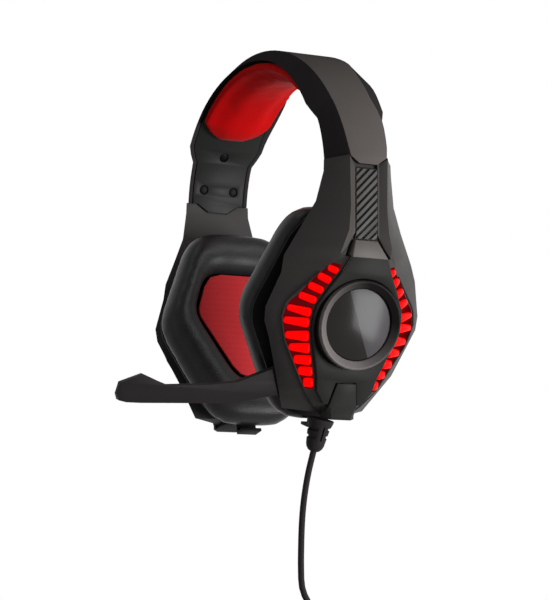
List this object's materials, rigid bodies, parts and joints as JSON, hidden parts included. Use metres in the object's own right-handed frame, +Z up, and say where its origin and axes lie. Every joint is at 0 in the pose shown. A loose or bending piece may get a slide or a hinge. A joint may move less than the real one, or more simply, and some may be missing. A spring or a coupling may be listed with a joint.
{
  "type": "gaming headset",
  "caption": "Over-ear gaming headset with a padded headband, sliding arms, six-sided cups with lit fins, tilting ear cushions, a swinging microphone boom and a tied cord with a round plug.",
  "frame": {"origin": "middle of the underside of the headband pad, where it rests on the head", "axes": "+X to the wearer's left, -Y to the front, +Z up"},
  "size_m": [0.1878, 0.1626, 0.3428],
  "materials": {
    "satin_black": "satin",
    "graphite": "satin",
    "grey_plastic": "satin",
    "dark_plastic": "matte",
    "gloss_black": "gloss",
    "red_light": "lit from behind",
    "red_fabric": "matte",
    "black_leatherette": "soft sheen",
    "steel": "satin",
    "black_steel": "black oxide",
    "circuit_board": "matte",
    "black_rubber": "matte",
    "gold_plate": "plated"
  },
  "bodies": {
    "headband": {"headband_shell": "satin_black", "headband_inner_cover": "satin_black", "headband_spring": "steel", "headband_pad": "red_fabric", "band_screw_1": "black_steel", "band_screw_2": "black_steel", "band_screw_3": "black_steel", "band_screw_4": "black_steel", "band_screw_5": "black_steel", "band_screw_6": "black_steel", "slider_blade_left": "steel", "slider_blade_right": "steel"},
    "arm_left": {"arm_frame_left": "graphite", "rib_strip_left": "grey_plastic", "spine_panel_left": "graphite", "bezel_ring_left": "gloss_black", "cup_disc_left": "gloss_black", "front_light_guide_left": "red_light", "rear_light_guide_left": "red_light", "led_board_left": "circuit_board", "chin_piece_left": "graphite", "back_cover_left": "dark_plastic", "cup_pin_left": "steel", "boom_screw": "black_steel", "strain_relief": "black_rubber", "cord_lead": "black_rubber", "cord_coil": "black_rubber", "cord_tie": "black_rubber", "plug_grip": "black_rubber", "plug_pin": "gold_plate"},
    "cup_left": {"cup_shell_left": "dark_plastic", "baffle_left": "dark_plastic", "driver_left": "steel", "ear_liner_left": "red_fabric", "ear_cushion_left": "black_leatherette"},
    "arm_right": {"arm_frame_right": "graphite", "rib_strip_right": "grey_plastic", "spine_panel_right": "graphite", "bezel_ring_right": "gloss_black", "cup_disc_right": "gloss_black", "front_light_guide_right": "red_light", "rear_light_guide_right": "red_light", "led_board_right": "circuit_board", "chin_piece_right": "graphite", "back_cover_right": "dark_plastic", "cup_pin_right": "steel"},
    "cup_right": {"cup_shell_right": "dark_plastic", "baffle_right": "dark_plastic", "driver_right": "steel", "ear_liner_right": "red_fabric", "ear_cushion_right": "black_leatherette"},
    "boom": {"boom_arm": "graphite", "mic_capsule": "steel", "mic_grille": "dark_plastic"}
  },
  "joints": [
    {"name": "left_arm_slide", "type": "slide", "parent": "headband", "child": "arm_left", "axis": [0, 0, -1], "range_m": [0, 0.028]},
    {"name": "left_cup_tilt", "type": "hinge", "parent": "arm_left", "child": "cup_left", "pos_m": [0.06054, 0, -0.12793], "axis": [0, 1, 0], "range_deg": [-3, 3]},
    {"name": "right_arm_slide", "type": "slide", "parent": "headband", "child": "arm_right", "axis": [0, 0, -1], "range_m": [0, 0.028]},
    {"name": "right_cup_tilt", "type": "hinge", "parent": "arm_right", "child": "cup_right", "pos_m": [-0.06054, 0, -0.12793], "axis": [0, 1, 0], "range_deg": [-3, 3]},
    {"name": "boom_swing", "type": "hinge", "parent": "arm_left", "child": "boom", "pos_m": [0.05312, -0.0245, -0.16063], "axis": [-0.9659, 0, 0.2588], "range_deg": [0, 90]}
  ]
}
